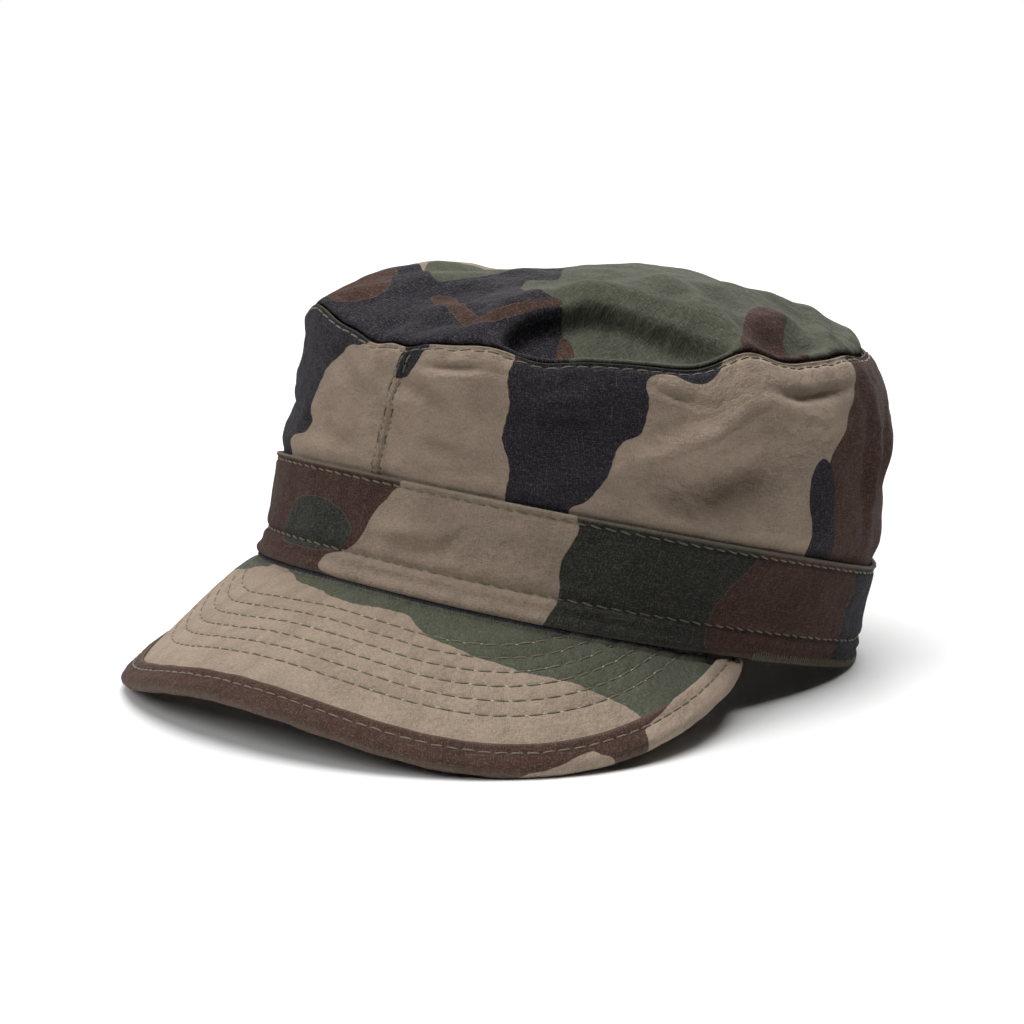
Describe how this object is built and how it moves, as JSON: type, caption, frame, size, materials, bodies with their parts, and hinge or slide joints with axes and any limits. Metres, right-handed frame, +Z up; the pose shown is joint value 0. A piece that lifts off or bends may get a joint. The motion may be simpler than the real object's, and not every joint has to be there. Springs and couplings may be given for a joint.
{
  "type": "field cap",
  "caption": "Soft camouflage field cap with a round crown, a wide band and a short stitched peak, lying by itself on a level surface.",
  "frame": {"origin": "middle of the cap's footprint, on the surface it lies on", "axes": "the peak points along -Y, the wearer's left is +X, +Z is up"},
  "size_m": [0.2002, 0.2508, 0.1261],
  "materials": {
    "crown_cloth": "matt printed cotton, camouflage in tan, green, brown and black",
    "band_cloth": "matt printed cotton, camouflage in tan, green, brown and black",
    "peak_cloth": "matt printed cotton over a thin board, camouflage",
    "binding_tape": "matt printed cotton cut on the bias, folded around the peak's edge",
    "sewing_thread": "olive drab spun polyester thread"
  },
  "bodies": {
    "root": {"band": "band_cloth", "crown_side_left": "crown_cloth", "crown_side_right": "crown_cloth", "crown_top": "crown_cloth", "peak": "peak_cloth", "peak_binding": "binding_tape"}
  },
  "joints": []
}
